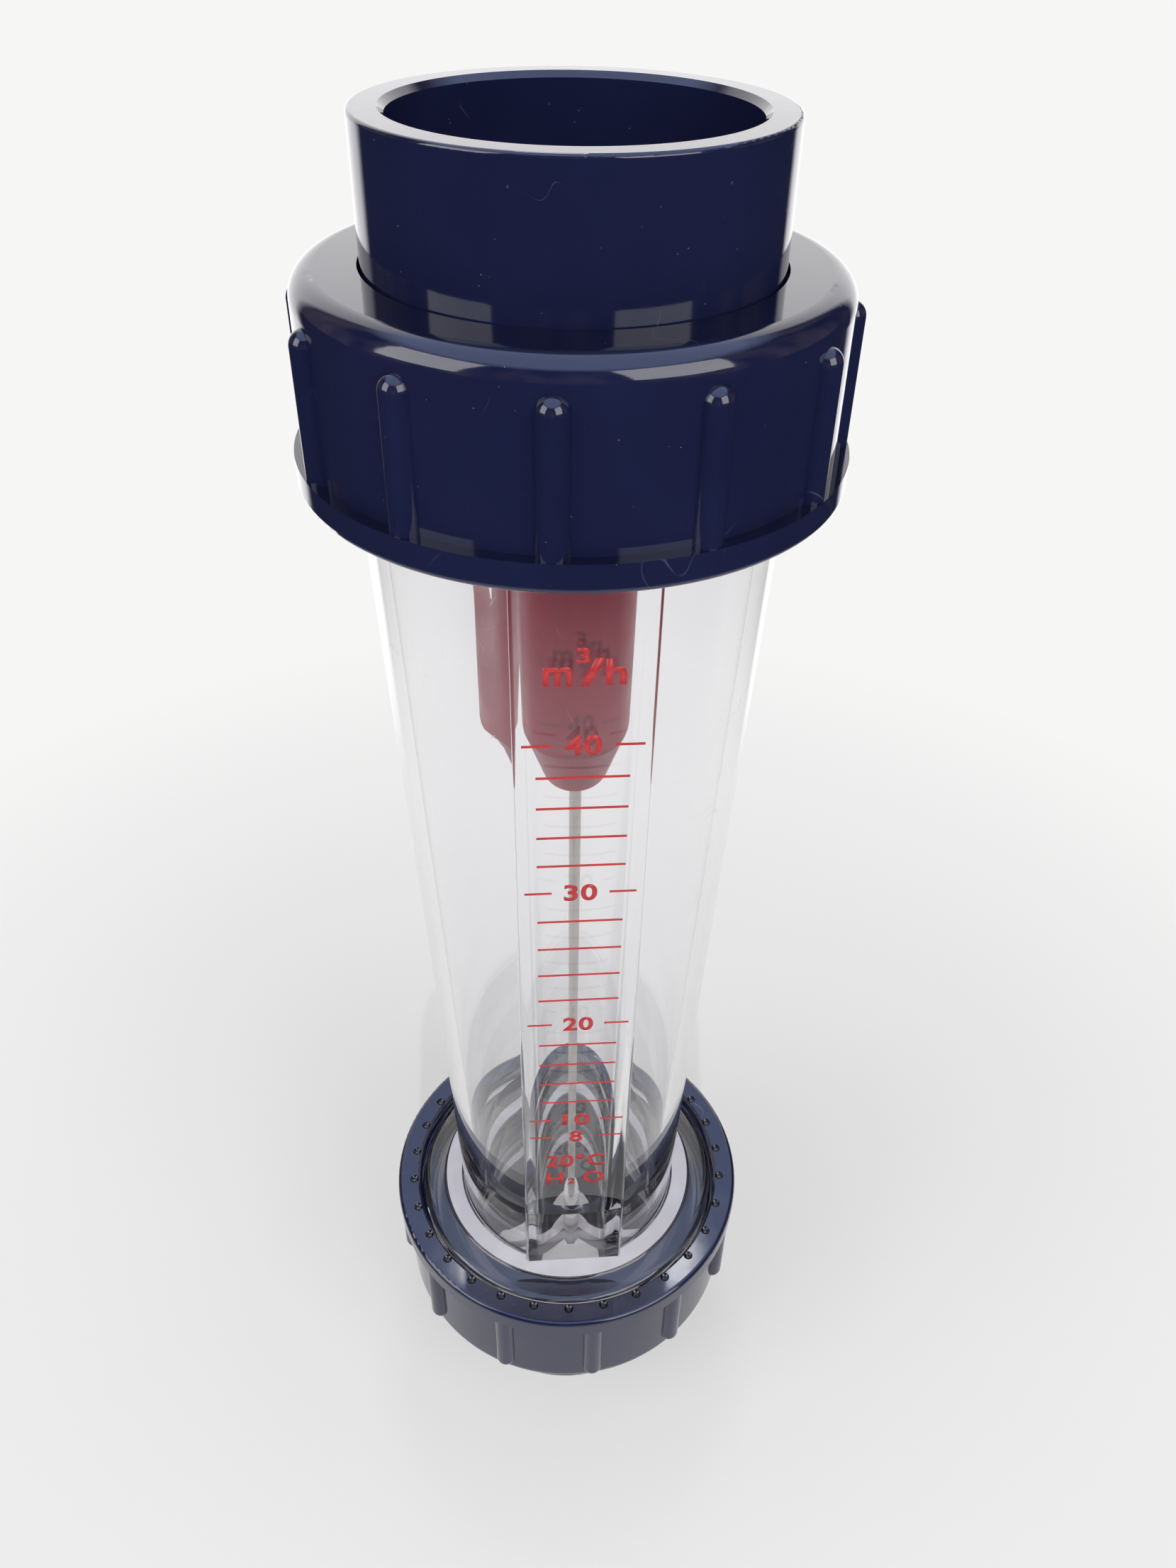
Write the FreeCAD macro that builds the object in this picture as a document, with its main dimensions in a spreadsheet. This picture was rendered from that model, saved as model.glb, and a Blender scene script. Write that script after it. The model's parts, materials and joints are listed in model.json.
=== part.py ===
"""Rotameter: a clear tapered metering tube between two union ends.

The pipe axis is Z and the origin is the centre of the lower end face. The scale land faces -Y.
Both unions are the same set of pieces. They are drawn at the lower end, where the height above
the pipe end is also the distance inwards, and the upper set is turned over.
"""
import FreeCAD, Part
import os

import Sketcher
from FreeCAD import Placement, Rotation, Vector

DRIVING_DIMENSIONS = [
    # name, millimetres (or degrees, or a count)
    ("overall_length", 430.0),
    ("fit_gap", 0.3),
    ("running_gap", 0.06),
    # union ends: sockets for 75 mm pipe
    ("pipe_radius", 37.5),
    ("pipe_gap", 0.1),
    ("socket_wall", 7.4),
    ("socket_depth", 39.0),
    ("pipe_stop_width", 5.1),
    ("pipe_stop_height", 6.0),
    ("mouth_chamfer", 1.3),
    ("socket_edge_round", 0.8),
    ("end_collar_reach", 9.2),
    ("end_collar_thickness", 8.9),
    # seal between tube and union end
    ("seal_setback", 3.6),
    ("seal_width", 3.4),
    ("seal_depth", 2.7),
    ("seal_corner", 1.1),
    ("groove_gap", 0.2),
    # union nuts
    ("nut_wall", 4.9),
    ("nut_shoulder_thickness", 7.0),
    ("nut_shoulder_round", 5.4),
    ("nut_overhang", 0.8),
    ("nut_hole_gap", 0.6),
    ("nut_rim_reach", 3.1),
    ("nut_rim_thickness", 6.9),
    ("nut_rim_round", 1.5),
    ("nut_mouth_chamfer", 0.8),
    ("nut_rib_radius", 3.5),
    ("nut_rib_stand", 2.9),
    ("nut_rib_setback", 6.5),
    ("nut_rib_count", 12),
    ("rim_recess_count", 30),
    ("rim_recess_setback", 2.0),
    ("rim_recess_turn", 3.9),
    ("rim_recess_radius", 1.9),
    ("rim_recess_depth", 0.85),
    ("upper_nut_turn", -7.3),
    ("lower_nut_turn", 5.3),
    # metering tube
    ("thread_step", 0.8),
    ("tube_neck_step", 1.4),
    ("tube_neck_height", 3.6),
    ("tube_collar_height", 28.6),
    ("cone_ledge", 3.2),
    ("cone_taper", 11.7),
    ("cone_root_round", 2.5),
    ("cone_root_share", 0.4),
    ("inlet_step", 3.1),
    ("inlet_height", 55.0),
    ("wall_low", 4.6),
    ("wall_high", 5.2),
    # flat scale land, moulded on the front of the cone
    ("land_width", 33.2),
    ("land_low_setback", 0.1),
    ("land_high_setback", 2.5),
    ("land_edge_round", 1.0),
    ("land_depth", 7.0),
    # guide rod and what fixes it
    ("rod_radius", 3.0),
    ("rod_proud", 0.5),
    ("guide_height", 7.7),
    ("guide_hub_wall", 5.0),
    ("guide_arm_width", 4.5),
    ("guide_arm_count", 3),
    ("lower_guide_hold", 15.4),
    ("upper_guide_hold", 2.7),
    ("lower_guide_rim", 15.4),
    ("upper_guide_rim", 3.2),
    ("washer_reach", 3.0),
    ("washer_thickness", 1.2),
    ("nut_flats", 10.0),
    ("nut_height", 4.0),
    ("stop_wall", 3.5),
    ("lower_stop_height", 7.0),
    ("upper_stop_height", 27.8),
    # float, standing at its highest place
    ("float_length", 78.0),
    ("brim_over", 0.7),
    ("brim_thickness", 6.0),
    ("brim_edge", 1.6),
    ("brim_reach", 10.4),
    ("float_shoulder_step", 8.4),
    ("float_shoulder_rise", 4.0),
    ("float_nose_step", 6.5),
    ("float_cone_rise", 21.0),
    ("float_nose_round", 3.0),
    ("float_floor", 16.0),
    ("float_wall", 4.4),
    ("float_cap_thickness", 8.0),
    ("float_cap_rise", 5.0),
    ("float_cap_hub_wall", 4.0),
    ("weight_height", 34.0),
    ("weight_gap", 0.4),
    ("bush_wall", 3.0),
    ("bush_length", 9.0),
    ("stop_gap", 0.5),
]

document = FreeCAD.newDocument("rotameter")
sheet = document.addObject("Spreadsheet::Sheet", "sizes")
for row, (name, number) in enumerate(DRIVING_DIMENSIONS, start=1):
    sheet.set("A%d" % row, name)
    sheet.set("B%d" % row, str(number))
    sheet.setAlias("B%d" % row, name)
document.recompute()

# sizes and places that several pieces share, as expressions of the driving dimensions
SOCKET_BORE = "(sizes.pipe_radius + sizes.pipe_gap)"
SOCKET_RADIUS = "(%s + sizes.socket_wall)" % SOCKET_BORE
END_BORE = "(%s - sizes.pipe_stop_width)" % SOCKET_BORE
COLLAR_RADIUS = "(%s + sizes.end_collar_reach)" % SOCKET_RADIUS
SEAL_RADIUS = "(%s - sizes.seal_setback)" % COLLAR_RADIUS
THREAD_RADIUS = "(%s + sizes.thread_step)" % COLLAR_RADIUS
NECK_RADIUS = "(%s - sizes.tube_neck_step)" % THREAD_RADIUS
NUT_BORE = "(%s + sizes.fit_gap)" % THREAD_RADIUS
NUT_RADIUS = "(%s + sizes.nut_wall)" % NUT_BORE
CONE_HIGH = "(%s - sizes.cone_ledge)" % NECK_RADIUS
CONE_LOW = "(%s - sizes.cone_taper)" % CONE_HIGH
BORE_HIGH = "(%s - sizes.wall_high)" % CONE_HIGH
BORE_LOW = "(%s - sizes.wall_low)" % CONE_LOW
LOWER_GUIDE_RADIUS = "(%s + sizes.lower_guide_hold)" % END_BORE
UPPER_GUIDE_RADIUS = "(%s + sizes.upper_guide_hold)" % BORE_HIGH
ROD_HOLE = "(sizes.rod_radius + sizes.running_gap)"
BUSH_RADIUS = "(sizes.rod_radius + sizes.bush_wall)"
BRIM_RADIUS = "(%s + sizes.brim_over)" % BORE_LOW
FLOAT_RADIUS = "(%s - sizes.brim_reach)" % BRIM_RADIUS
SHOULDER_RADIUS = "(%s - sizes.float_shoulder_step)" % FLOAT_RADIUS
CAVITY_RADIUS = "(%s - sizes.float_wall)" % FLOAT_RADIUS
TUBE_LOW = "(sizes.socket_depth + sizes.pipe_stop_height)"
TUBE_HIGH = "(sizes.overall_length - %s)" % TUBE_LOW
NECK_LOW = "(%s + sizes.tube_collar_height)" % TUBE_LOW
NECK_HIGH = "(%s - sizes.tube_collar_height)" % TUBE_HIGH
COLLAR_INSIDE = "(%s - sizes.end_collar_thickness)" % TUBE_LOW
GUIDE_SEAT = "(sizes.guide_height + sizes.fit_gap)"
LOWER_GUIDE_HIGH = "(%s + sizes.guide_height)" % TUBE_LOW
UPPER_GUIDE_LOW = "(%s - sizes.guide_height)" % TUBE_HIGH
WASHER_LOW = "(%s - sizes.washer_thickness)" % TUBE_LOW
WASHER_HIGH = "(%s + sizes.washer_thickness)" % TUBE_HIGH
UPPER_STOP_LOW = "(%s - sizes.upper_stop_height)" % UPPER_GUIDE_LOW
FLOAT_TOP = "(%s - sizes.stop_gap)" % UPPER_STOP_LOW
FLOAT_HIGH = "(%s - sizes.float_cap_rise)" % FLOAT_TOP
FLOAT_LOW = "(%s - sizes.float_length)" % FLOAT_HIGH
CAVITY_LOW = "(%s + sizes.float_floor)" % FLOAT_LOW
CAP_LOW = "(%s - sizes.float_cap_thickness)" % FLOAT_HIGH


def new_body(label):
    body = document.addObject("PartDesign::Body", label)
    body.Label = label
    return body


def plane_of(body, role):
    """One of a body's own origin planes."""
    return [feature for feature in body.Origin.OriginFeatures if feature.Role == role][0]


def outline_sketch(body, name, points, role="XZ_Plane"):
    """A closed outline through points, each a pair of expressions across and up."""
    sketch = body.newObject("Sketcher::SketchObject", name)
    sketch.AttachmentSupport = [(plane_of(body, role), "")]
    sketch.MapMode = "FlatFace"
    places = []
    for across, up in points:
        places.append(Vector(float(sketch.evalExpression(across)), float(sketch.evalExpression(up)), 0))
    count = len(places)
    for index in range(count):
        sketch.addGeometry(Part.LineSegment(places[index], places[(index + 1) % count]), False)
    for index in range(count):
        sketch.addConstraint(Sketcher.Constraint("Coincident", index, 2, (index + 1) % count, 1))
    for index, (across, up) in enumerate(points):
        bind_coordinate(sketch, "DistanceX", index, places[index].x, across)
        bind_coordinate(sketch, "DistanceY", index, places[index].y, up)
    return sketch


def bind_coordinate(sketch, direction, index, value, expression):
    """Holds one coordinate of a line's start point, from the sketch origin."""
    on_axis = -2 if direction == "DistanceX" else -1
    if abs(value) < 1e-9:
        sketch.addConstraint(Sketcher.Constraint("PointOnObject", index, 1, on_axis))
        return
    if value < 0:
        constraint = Sketcher.Constraint(direction, index, 1, -1, 1, -value)
        expression = "-(%s)" % expression
    else:
        constraint = Sketcher.Constraint(direction, -1, 1, index, 1, value)
    number = sketch.addConstraint(constraint)
    sketch.setExpression("Constraints[%d]" % number, expression)


def turned(body, name, points, kind="PartDesign::Revolution"):
    """Turns an outline of (radius, height) about the pipe axis, to add or to cut."""
    sketch = outline_sketch(body, name + "_outline", points)
    feature = body.newObject(kind, name)
    feature.Profile = sketch
    feature.ReferenceAxis = (sketch, ["V_Axis"])
    feature.Angle = 360.0
    document.recompute()
    return feature


def turned_cut(body, name, points):
    """A turned cut that must remove material."""
    before = body.Shape.Volume
    feature = turned(body, name, points, "PartDesign::Groove")
    if not body.Shape.Volume < before - 1e-3:
        raise ValueError("%s cuts nothing" % name)
    return feature


def number_of(expression):
    """The present value of an expression of the sheet."""
    return float(sheet.evalExpression(expression.replace("sizes.", "")))


def circles_at(shape, radius, height):
    """Names of the round edges of a shape that have this radius and height about the axis."""
    names = []
    for index, edge in enumerate(shape.Edges, start=1):
        curve = edge.Curve
        if not isinstance(curve, Part.Circle):
            continue
        if abs(curve.Radius - radius) > 1e-3 or abs(curve.Center.z - height) > 1e-3:
            continue
        if abs(curve.Center.x) > 1e-3 or abs(curve.Center.y) > 1e-3:
            continue
        names.append("Edge%d" % index)
    return names


def rounded(body, name, places, size, kind="PartDesign::Fillet"):
    """Rounds or chamfers the circles at the given (radius, height) expressions."""
    base = body.Tip
    edges = []
    for radius, height in places:
        found = circles_at(base.Shape, number_of(radius), number_of(height))
        if not found:
            raise ValueError("%s finds no edge at %s, %s" % (name, radius, height))
        edges += found
    feature = body.newObject(kind, name)
    feature.Base = (base, edges)
    feature.setExpression("Radius" if kind.endswith("Fillet") else "Size", size)
    document.recompute()
    return feature


def around(body, name, features, count):
    """Repeats features evenly about the pipe axis."""
    pattern = body.newObject("PartDesign::PolarPattern", name)
    pattern.Originals = features
    axis = [feature for feature in body.Origin.OriginFeatures if feature.Role == "Z_Axis"][0]
    pattern.Axis = (axis, [""])
    pattern.Angle = 360.0
    pattern.setExpression("Occurrences", count)
    body.Tip = pattern
    document.recompute()
    return pattern


def at_end(body, upper, turn="0"):
    """Leaves a union piece at the lower end, or turns it over onto the upper end."""
    flip = Rotation(Vector(1, 0, 0), 180) if upper else Rotation()
    spin = Rotation(Vector(0, 0, 1), number_of(turn))
    body.Placement = Placement(Vector(0, 0, 0), spin.multiply(flip))
    if upper:
        body.setExpression("Placement.Base.z", "sizes.overall_length")


# ---- union pieces ---------------------------------------------------------------------------

def union_end(label, upper):
    """A pipe socket with the collar that the union nut pulls against the tube."""
    body = new_body(label)
    turned(body, label + "_form", [
        (SOCKET_BORE, "0"),
        (SOCKET_RADIUS, "0"),
        (SOCKET_RADIUS, COLLAR_INSIDE),
        (COLLAR_RADIUS, COLLAR_INSIDE),
        (COLLAR_RADIUS, TUBE_LOW),
        (END_BORE, TUBE_LOW),
        (END_BORE, "sizes.socket_depth"),
        (SOCKET_BORE, "sizes.socket_depth"),
    ])
    groove_inside = "%s - sizes.seal_width / 2 - sizes.groove_gap" % SEAL_RADIUS
    groove_outside = "%s + sizes.seal_width / 2 + sizes.groove_gap" % SEAL_RADIUS
    groove_floor = "%s - sizes.seal_depth" % TUBE_LOW
    turned_cut(body, label + "_seal_groove", [
        (groove_inside, groove_floor),
        (groove_outside, groove_floor),
        (groove_outside, TUBE_LOW),
        (groove_inside, TUBE_LOW),
    ])
    rounded(body, label + "_mouth", [(SOCKET_BORE, "0")], "sizes.mouth_chamfer",
            "PartDesign::Chamfer")
    rounded(body, label + "_edge", [(SOCKET_RADIUS, "0")], "sizes.socket_edge_round")
    at_end(body, upper)
    return body


def o_ring(label, upper):
    """A face seal, drawn as it lies pressed in its groove."""
    body = new_body(label)
    inside = "%s - sizes.seal_width / 2" % SEAL_RADIUS
    outside = "%s + sizes.seal_width / 2" % SEAL_RADIUS
    floor = "%s - sizes.seal_depth" % TUBE_LOW
    corners = [(inside, floor), (outside, floor), (outside, TUBE_LOW), (inside, TUBE_LOW)]
    turned(body, label + "_form", corners)
    rounded(body, label + "_corners", corners, "sizes.seal_corner")
    at_end(body, upper)
    return body


def union_nut(label, upper, turn):
    """A ribbed nut with a domed shoulder at the pipe side and a recessed rim at the tube side."""
    body = new_body(label)
    shoulder = "(%s - sizes.nut_shoulder_thickness)" % COLLAR_INSIDE
    mouth = "(%s + sizes.nut_overhang)" % NECK_LOW
    rim = "(%s - sizes.nut_rim_thickness)" % mouth
    rim_radius = "(%s + sizes.nut_rim_reach)" % NUT_RADIUS
    hole = "(%s + sizes.nut_hole_gap)" % SOCKET_RADIUS
    turned(body, label + "_form", [
        (hole, shoulder),
        (NUT_RADIUS, shoulder),
        (NUT_RADIUS, rim),
        (rim_radius, rim),
        (rim_radius, mouth),
        (NUT_BORE, mouth),
        (NUT_BORE, COLLAR_INSIDE),
        (hole, COLLAR_INSIDE),
    ])
    rounded(body, label + "_shoulder", [(NUT_RADIUS, shoulder)], "sizes.nut_shoulder_round")
    rounded(body, label + "_rim", [(rim_radius, mouth)], "sizes.nut_rim_round")
    rounded(body, label + "_mouth", [(NUT_BORE, mouth)], "sizes.nut_mouth_chamfer",
            "PartDesign::Chamfer")
    rib_axis = "(%s + sizes.nut_rib_stand - sizes.nut_rib_radius)" % NUT_RADIUS
    ball_height = "(%s + sizes.nut_rib_setback + sizes.nut_rib_radius)" % shoulder
    rib = body.newObject("PartDesign::AdditiveCylinder", label + "_rib")
    rib.setExpression("Radius", "sizes.nut_rib_radius")
    rib.setExpression("Height", "%s - %s" % (rim, ball_height))
    rib.setExpression("Placement.Base.y", "-%s" % rib_axis)
    rib.setExpression("Placement.Base.z", ball_height)
    ball = body.newObject("PartDesign::AdditiveSphere", label + "_rib_end")
    ball.setExpression("Radius", "sizes.nut_rib_radius")
    ball.setExpression("Placement.Base.y", "-%s" % rib_axis)
    ball.setExpression("Placement.Base.z", ball_height)
    document.recompute()
    around(body, label + "_ribs", [rib, ball], "sizes.nut_rib_count")
    rim_recesses(body, label, mouth)
    at_end(body, upper, turn)
    return body


def rim_recesses(body, label, mouth):
    """Small round hollows all round the flat face of the rim."""
    across = "(%s + sizes.rim_recess_setback)" % NUT_BORE
    above = "(%s + sizes.rim_recess_radius - sizes.rim_recess_depth)" % mouth
    hollow = body.newObject("PartDesign::SubtractiveSphere", label + "_recess")
    hollow.setExpression("Radius", "sizes.rim_recess_radius")
    hollow.Placement = Placement(Vector(0, 0, 0), Rotation(Vector(0, 1, 0), -90))
    hollow.setExpression("Placement.Base.x", "%s * sin(sizes.rim_recess_turn * 1 deg)" % across)
    hollow.setExpression("Placement.Base.y", "-%s * cos(sizes.rim_recess_turn * 1 deg)" % across)
    hollow.setExpression("Placement.Base.z", above)
    document.recompute()
    around(body, label + "_recesses", [hollow], "sizes.rim_recess_count")


# ---- metering tube --------------------------------------------------------------------------

def metering_tube():
    """The clear cone, its threaded collars, its scale land and its tapered bore."""
    body = new_body("metering_tube")
    neck_low_start = "(%s - sizes.tube_neck_height)" % NECK_LOW
    neck_high_start = "(%s + sizes.tube_neck_height)" % NECK_HIGH
    turned(body, "tube_outside", [
        ("0", TUBE_LOW),
        (THREAD_RADIUS, TUBE_LOW),
        (THREAD_RADIUS, neck_low_start),
        (NECK_RADIUS, neck_low_start),
        (NECK_RADIUS, NECK_LOW),
        (CONE_LOW, NECK_LOW),
        (CONE_HIGH, NECK_HIGH),
        (NECK_RADIUS, NECK_HIGH),
        (NECK_RADIUS, neck_high_start),
        (THREAD_RADIUS, neck_high_start),
        (THREAD_RADIUS, TUBE_HIGH),
        ("0", TUBE_HIGH),
    ])
    root_round = "min(sizes.cone_root_round; sizes.cone_root_share * sizes.cone_ledge)"
    rounded(body, "cone_roots", [(CONE_LOW, NECK_LOW),
                                 (CONE_HIGH, NECK_HIGH)], root_round)
    scale_land(body)
    lower_seat = "(%s + sizes.fit_gap)" % LOWER_GUIDE_RADIUS
    upper_seat = "(%s + sizes.fit_gap)" % UPPER_GUIDE_RADIUS
    seat_low = "(%s + %s)" % (TUBE_LOW, GUIDE_SEAT)
    seat_high = "(%s - %s)" % (TUBE_HIGH, GUIDE_SEAT)
    inlet_top = "(%s + sizes.inlet_height)" % TUBE_LOW
    inlet_radius = "(%s - sizes.inlet_step)" % BORE_LOW
    turned_cut(body, "tube_bore", [
        ("0", TUBE_LOW),
        (lower_seat, TUBE_LOW),
        (lower_seat, seat_low),
        (inlet_radius, seat_low),
        (inlet_radius, inlet_top),
        (BORE_LOW, inlet_top),
        (BORE_HIGH, NECK_HIGH),
        (BORE_HIGH, seat_high),
        (upper_seat, seat_high),
        (upper_seat, TUBE_HIGH),
        ("0", TUBE_HIGH),
    ])
    return body


def scale_land(body):
    """A flat inclined pad from collar to collar, with softened long edges."""
    low = land_section(body, "land_low", NECK_LOW, "(%s - sizes.land_low_setback)" % CONE_LOW)
    high = land_section(body, "land_high", NECK_HIGH, "(%s - sizes.land_high_setback)" % CONE_HIGH)
    land = body.newObject("PartDesign::AdditiveLoft", "scale_land")
    land.Profile = low
    land.Sections = [high]
    land.Ruled = True
    document.recompute()


def land_section(body, name, height, front):
    """The land's section at one height: a block behind the flat front, with cut corners."""
    half = "(sizes.land_width / 2)"
    soft = "sizes.land_edge_round"
    behind = "-(%s - sizes.land_depth)" % front
    section = outline_sketch(body, name, [
        ("-%s" % half, behind),
        ("-%s" % half, "-(%s - %s)" % (front, soft)),
        ("-(%s - %s)" % (half, soft), "-%s" % front),
        ("%s - %s" % (half, soft), "-%s" % front),
        (half, "-(%s - %s)" % (front, soft)),
        (half, behind),
    ], role="XY_Plane")
    section.setExpression("AttachmentOffset.Base.z", height)
    return section


# ---- rod, guides and stops ------------------------------------------------------------------

def rod_guide(label, ring_radius, rim, low):
    """A ring on three arms with a hub that holds the rod on the axis."""
    body = new_body(label)
    high = "(%s + sizes.guide_height)" % low
    hub = "(sizes.rod_radius + sizes.guide_hub_wall)"
    turned(body, label + "_hub", [
        ("0", low),
        (hub, low),
        (hub, high),
        ("0", high),
    ])
    inside = "(%s - %s)" % (ring_radius, rim)
    arm_end = "(%s - %s / 2)" % (ring_radius, rim)
    side = outline_sketch(body, label + "_arm_side", [
        ("0", low),
        (arm_end, low),
        (arm_end, high),
        ("0", high),
    ], role="YZ_Plane")
    arm = body.newObject("PartDesign::Pad", label + "_arm")
    arm.Profile = side
    arm.setExpression("Length", "sizes.guide_arm_width")
    arm.Midplane = True
    document.recompute()
    around(body, label + "_arms", [arm], "sizes.guide_arm_count")
    turned(body, label + "_ring", [
        (inside, low),
        (ring_radius, low),
        (ring_radius, high),
        (inside, high),
    ])
    turned_cut(body, label + "_hole", [
        ("0", low),
        ("sizes.rod_radius", low),
        ("sizes.rod_radius", high),
        ("0", high),
    ])
    return body


def ring(label, inside, outside, low, high):
    """A plain turned ring or sleeve."""
    body = new_body(label)
    turned(body, label + "_form", [(inside, low), (outside, low), (outside, high), (inside, high)])
    return body


def rod():
    body = new_body("guide_rod")
    low = "(%s - sizes.nut_height - sizes.rod_proud)" % WASHER_LOW
    high = "(%s + sizes.nut_height + sizes.rod_proud)" % WASHER_HIGH
    turned(body, "rod_form", [
        ("0", low),
        ("sizes.rod_radius", low),
        ("sizes.rod_radius", high),
        ("0", high),
    ])
    return body


def hex_nut(label, low):
    """A hexagon nut on the rod, as a prism with a round hole."""
    prism = document.addObject("Part::Prism", label + "_hexagon")
    prism.Polygon = 6
    prism.setExpression("Circumradius", "sizes.nut_flats / 2 / cos(30deg)")
    prism.setExpression("Height", "sizes.nut_height")
    hole = document.addObject("Part::Cylinder", label + "_hole")
    hole.setExpression("Radius", "sizes.rod_radius")
    hole.setExpression("Height", "sizes.nut_height")
    nut = document.addObject("Part::Cut", label)
    nut.Base = prism
    nut.Tool = hole
    nut.Label = label
    nut.setExpression("Placement.Base.z", low)
    return nut


# ---- float ----------------------------------------------------------------------------------

def float_body():
    """The float: a nose cone, a cylinder and the sharp brim that the scale is read against."""
    body = new_body("float_body")
    brim_low = "(%s - sizes.brim_thickness)" % FLOAT_HIGH
    shoulder_high = "(%s + sizes.float_shoulder_rise)" % FLOAT_LOW
    turned(body, "float_form", [
        ("0", FLOAT_LOW),
        ("%s - sizes.float_nose_step" % SHOULDER_RADIUS, FLOAT_LOW),
        (SHOULDER_RADIUS, shoulder_high),
        (FLOAT_RADIUS, "%s + sizes.float_cone_rise" % FLOAT_LOW),
        (FLOAT_RADIUS, brim_low),
        (BRIM_RADIUS, "%s - sizes.brim_edge" % FLOAT_HIGH),
        (BRIM_RADIUS, FLOAT_HIGH),
        ("0", FLOAT_HIGH),
    ])
    bush_high = "(%s + sizes.bush_length)" % FLOAT_LOW
    turned_cut(body, "float_cavity", [
        ("0", FLOAT_LOW),
        (BUSH_RADIUS, FLOAT_LOW),
        (BUSH_RADIUS, bush_high),
        ("(sizes.rod_radius + sizes.fit_gap)", bush_high),
        ("(sizes.rod_radius + sizes.fit_gap)", CAVITY_LOW),
        (CAVITY_RADIUS, CAVITY_LOW),
        (CAVITY_RADIUS, FLOAT_HIGH),
        ("0", FLOAT_HIGH),
    ])
    rounded(body, "float_nose", [(SHOULDER_RADIUS, shoulder_high)], "sizes.float_nose_round")
    return body


def float_cap():
    """The plug that closes the float, with a hub that meets the upper stop."""
    body = new_body("float_cap")
    bush_low = "(%s - sizes.bush_length)" % FLOAT_TOP
    turned(body, "cap_form", [
        ("(sizes.rod_radius + sizes.fit_gap)", CAP_LOW),
        (CAVITY_RADIUS, CAP_LOW),
        (CAVITY_RADIUS, FLOAT_HIGH),
        ("%s + sizes.float_cap_hub_wall" % BUSH_RADIUS, FLOAT_TOP),
        (BUSH_RADIUS, FLOAT_TOP),
        (BUSH_RADIUS, bush_low),
        ("(sizes.rod_radius + sizes.fit_gap)", bush_low),
    ])
    return body


def build():
    metering_tube()
    for end, upper, turn in (("bottom", False, "sizes.lower_nut_turn"),
                             ("top", True, "sizes.upper_nut_turn")):
        union_end(end + "_union_end", upper)
        o_ring(end + "_o_ring", upper)
        union_nut(end + "_union_nut", upper, turn)
    rod()
    rod_guide("lower_guide", LOWER_GUIDE_RADIUS, "sizes.lower_guide_rim", TUBE_LOW)
    rod_guide("upper_guide", UPPER_GUIDE_RADIUS, "sizes.upper_guide_rim", UPPER_GUIDE_LOW)
    stop_radius = "(sizes.rod_radius + sizes.stop_wall)"
    ring("lower_stop", "sizes.rod_radius", stop_radius, LOWER_GUIDE_HIGH,
         "(%s + sizes.lower_stop_height)" % LOWER_GUIDE_HIGH)
    ring("upper_stop", "sizes.rod_radius", stop_radius, UPPER_STOP_LOW, UPPER_GUIDE_LOW)
    washer_radius = "(sizes.rod_radius + sizes.washer_reach)"
    ring("lower_rod_washer", "sizes.rod_radius", washer_radius, WASHER_LOW, TUBE_LOW)
    ring("upper_rod_washer", "sizes.rod_radius", washer_radius, TUBE_HIGH, WASHER_HIGH)
    hex_nut("lower_rod_nut", "%s - sizes.nut_height" % WASHER_LOW)
    hex_nut("upper_rod_nut", WASHER_HIGH)
    float_body()
    float_cap()
    ring("float_weight", "(sizes.rod_radius + sizes.weight_gap)",
         "(%s - sizes.weight_gap)" % CAVITY_RADIUS, CAVITY_LOW,
         "(%s + sizes.weight_height)" % CAVITY_LOW)
    ring("lower_float_bush", ROD_HOLE, BUSH_RADIUS, FLOAT_LOW,
         "(%s + sizes.bush_length)" % FLOAT_LOW)
    ring("upper_float_bush", ROD_HOLE, BUSH_RADIUS,
         "(%s - sizes.bush_length)" % FLOAT_TOP, FLOAT_TOP)


NODES = [
    "metering_tube", "guide_rod", "lower_guide", "upper_guide", "lower_stop", "upper_stop",
    "lower_rod_washer", "upper_rod_washer", "lower_rod_nut", "upper_rod_nut",
    "float_body", "float_cap", "float_weight", "lower_float_bush", "upper_float_bush",
    "bottom_union_end", "top_union_end", "bottom_o_ring", "top_o_ring",
    "bottom_union_nut", "top_union_nut",
]


def check_and_write():
    """Stops on any failed object or shape, then writes one STEP file for each node."""
    document.recompute()
    for item in document.Objects:
        if "Invalid" in item.State or "Error" in item.State:
            raise ValueError("%s is in state %s" % (item.Name, item.State))
    pieces = {item.Label: item for item in document.Objects}
    for name in NODES:
        shape = pieces[name].Shape
        if shape.isNull() or not shape.isValid() or len(shape.Solids) != 1:
            raise ValueError("%s has no single valid solid" % name)
    os.makedirs("parts", exist_ok=True)
    for name in NODES:
        shape = pieces[name].Shape
        shape.exportStep("parts/%s.step" % name)
        box = shape.BoundBox
        print("%-18s %9.0f mm3   z %.1f to %.1f   width %.1f" % (
            name, shape.Volume, box.ZMin, box.ZMax, box.XLength))


build()
check_and_write()
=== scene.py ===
"""Looks of the rotameter: a clear tapered tube with a red printed scale, a red float on a steel
rod, and navy union ends, on a pale studio floor. Lengths are metres, in the CAD model's frame."""

import json
import math

import bpy
from mathutils import Matrix, Vector


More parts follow.
